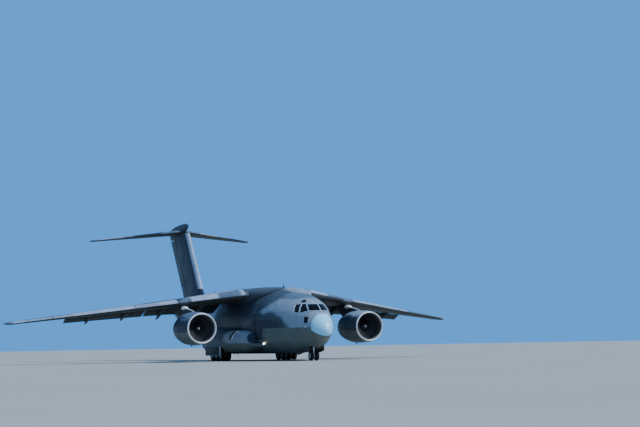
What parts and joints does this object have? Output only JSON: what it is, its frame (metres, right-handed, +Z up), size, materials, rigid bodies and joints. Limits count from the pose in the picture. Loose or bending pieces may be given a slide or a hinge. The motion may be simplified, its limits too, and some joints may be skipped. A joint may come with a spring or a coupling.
{
  "type": "military transport aeroplane, 1:2 scale model",
  "caption": "Twin-engined high-wing T-tailed military transport aeroplane as a 1:2 scale model, parked on its wheels, with hollow hold, rear ramp, doors and control surfaces.",
  "frame": {"origin": "on the ground, under the middle of the overall length and of the span", "axes": "+X to port along the span, +Y aft along the fuselage, +Z up"},
  "size_m": [22.2, 21.95, 7.1],
  "materials": {
    "body_paint": "satin blue-grey camouflage enamel on aluminium",
    "radome_paint": "smooth pale blue coating on glass fibre",
    "window_glass": "dark coated laminated glass",
    "cabin_lining": "matt grey interior paint",
    "engine_metal": "heat-tinted nickel alloy",
    "gear_enamel": "gloss white enamel",
    "tyre": "black tyre rubber on a painted wheel"
  },
  "bodies": {
    "airframe": {"radome": "radome_paint", "nose_shell": "body_paint", "flight_deck_glazing": "window_glass", "flight_deck_floor": "cabin_lining", "instrument_panel": "cabin_lining", "pilot_seats": "cabin_lining", "forward_fuselage": "body_paint", "wing_centre": "body_paint", "centre_fuselage": "body_paint", "wing_left": "body_paint", "flap_inner_left": "body_paint", "flap_outer_left": "body_paint", "wing_right": "body_paint", "flap_inner_right": "body_paint", "flap_outer_right": "body_paint", "cargo_floor": "cabin_lining", "aft_fuselage": "body_paint", "jump_door_left": "body_paint", "jump_door_right": "body_paint", "tail_cone": "body_paint", "fin": "body_paint", "tailplane": "body_paint", "engine_cowl_left": "body_paint", "engine_core_left": "engine_metal", "pylon_left": "body_paint", "engine_cowl_right": "body_paint", "engine_core_right": "engine_metal", "pylon_right": "body_paint", "sponson_left": "body_paint", "main_gear_door_left": "body_paint", "sponson_right": "body_paint", "main_gear_door_right": "body_paint", "main_gear_left": "gear_enamel", "main_gear_right": "gear_enamel", "nose_gear_leg": "gear_enamel", "nose_gear_door_left": "body_paint", "nose_gear_door_right": "body_paint"},
    "crew_door": {"crew_door": "body_paint"},
    "loading_ramp": {"loading_ramp": "body_paint"},
    "aft_cargo_door": {"aft_cargo_door": "body_paint"},
    "aileron_left": {"aileron_left": "body_paint"},
    "aileron_right": {"aileron_right": "body_paint"},
    "rudder": {"rudder": "body_paint"},
    "elevator_left": {"elevator_left": "body_paint"},
    "elevator_right": {"elevator_right": "body_paint"},
    "fan_left": {"engine_fan_left": "engine_metal"},
    "fan_right": {"engine_fan_right": "engine_metal"},
    "nose_fork": {"nose_gear_fork": "gear_enamel"},
    "nose_wheels": {"nose_wheels": "tyre"},
    "wheels_left_front": {"main_wheels_left_front": "tyre"},
    "wheels_left_middle": {"main_wheels_left_middle": "tyre"},
    "wheels_left_rear": {"main_wheels_left_rear": "tyre"},
    "wheels_right_front": {"main_wheels_right_front": "tyre"},
    "wheels_right_middle": {"main_wheels_right_middle": "tyre"},
    "wheels_right_rear": {"main_wheels_right_rear": "tyre"}
  },
  "joints": [
    {"name": "crew_door_hinge", "type": "hinge", "parent": "airframe", "child": "crew_door", "pos_m": [1.01, -7.31, 0.646], "axis": [0, 1, 0], "range_deg": [0, 105]},
    {"name": "ramp_hinge", "type": "hinge", "parent": "airframe", "child": "loading_ramp", "pos_m": [0, 1.43, 0.592], "axis": [1, 0, 0], "range_deg": [-21.8, 0]},
    {"name": "cargo_door_hinge", "type": "hinge", "parent": "airframe", "child": "aft_cargo_door", "pos_m": [0, 7.2047, 2.052], "axis": [1, 0, 0], "range_deg": [-25, 0]},
    {"name": "aileron_left_hinge", "type": "hinge", "parent": "airframe", "child": "aileron_left", "pos_m": [8.38, -0.0836, 2.15498], "axis": [0.9274, 0.3596, -0.1027], "range_deg": [-20, 20]},
    {"name": "aileron_right_hinge", "type": "hinge", "parent": "airframe", "child": "aileron_right", "pos_m": [-8.38, -0.0836, 2.15498], "axis": [0.9274, -0.3596, 0.1027], "range_deg": [-20, 20]},
    {"name": "rudder_hinge", "type": "hinge", "parent": "airframe", "child": "rudder", "pos_m": [0, 7.54194, 3.66], "axis": [0, 0.5649, 0.8251], "range_deg": [-25, 25]},
    {"name": "elevator_left_hinge", "type": "hinge", "parent": "airframe", "child": "elevator_left", "pos_m": [0.2, 9.81944, 6.66287], "axis": [0.9728, 0.2162, -0.0833], "range_deg": [-15, 25]},
    {"name": "elevator_right_hinge", "type": "hinge", "parent": "airframe", "child": "elevator_right", "pos_m": [-0.2, 9.81944, 6.66287], "axis": [0.9728, -0.2162, 0.0833], "range_deg": [-15, 25]},
    {"name": "fan_left_spin", "type": "hinge", "parent": "airframe", "child": "fan_left", "pos_m": [3.985, -5.8, 1.47], "axis": [0, 1, 0], "continuous": true},
    {"name": "fan_right_spin", "type": "hinge", "parent": "airframe", "child": "fan_right", "pos_m": [-3.985, -5.8, 1.47], "axis": [0, 1, 0], "continuous": true},
    {"name": "nose_steering", "type": "hinge", "parent": "airframe", "child": "nose_fork", "pos_m": [0, -9.365, 0.5], "axis": [0, 0, 1], "range_deg": [-60, 60]},
    {"name": "nose_wheels_spin", "type": "hinge", "parent": "nose_fork", "child": "nose_wheels", "pos_m": [0, -9.365, 0.21729], "axis": [1, 0, 0], "continuous": true},
    {"name": "wheels_left_front_spin", "type": "hinge", "parent": "airframe", "child": "wheels_left_front", "pos_m": [1.625, -2.64, 0.27161], "axis": [1, 0, 0], "continuous": true},
    {"name": "wheels_left_middle_spin", "type": "hinge", "parent": "airframe", "child": "wheels_left_middle", "pos_m": [1.625, -2.04, 0.27161], "axis": [1, 0, 0], "continuous": true},
    {"name": "wheels_left_rear_spin", "type": "hinge", "parent": "airframe", "child": "wheels_left_rear", "pos_m": [1.625, -1.44, 0.27161], "axis": [1, 0, 0], "continuous": true},
    {"name": "wheels_right_front_spin", "type": "hinge", "parent": "airframe", "child": "wheels_right_front", "pos_m": [-1.625, -2.64, 0.27161], "axis": [1, 0, 0], "continuous": true},
    {"name": "wheels_right_middle_spin", "type": "hinge", "parent": "airframe", "child": "wheels_right_middle", "pos_m": [-1.625, -2.04, 0.27161], "axis": [1, 0, 0], "continuous": true},
    {"name": "wheels_right_rear_spin", "type": "hinge", "parent": "airframe", "child": "wheels_right_rear", "pos_m": [-1.625, -1.44, 0.27161], "axis": [1, 0, 0], "continuous": true}
  ]
}
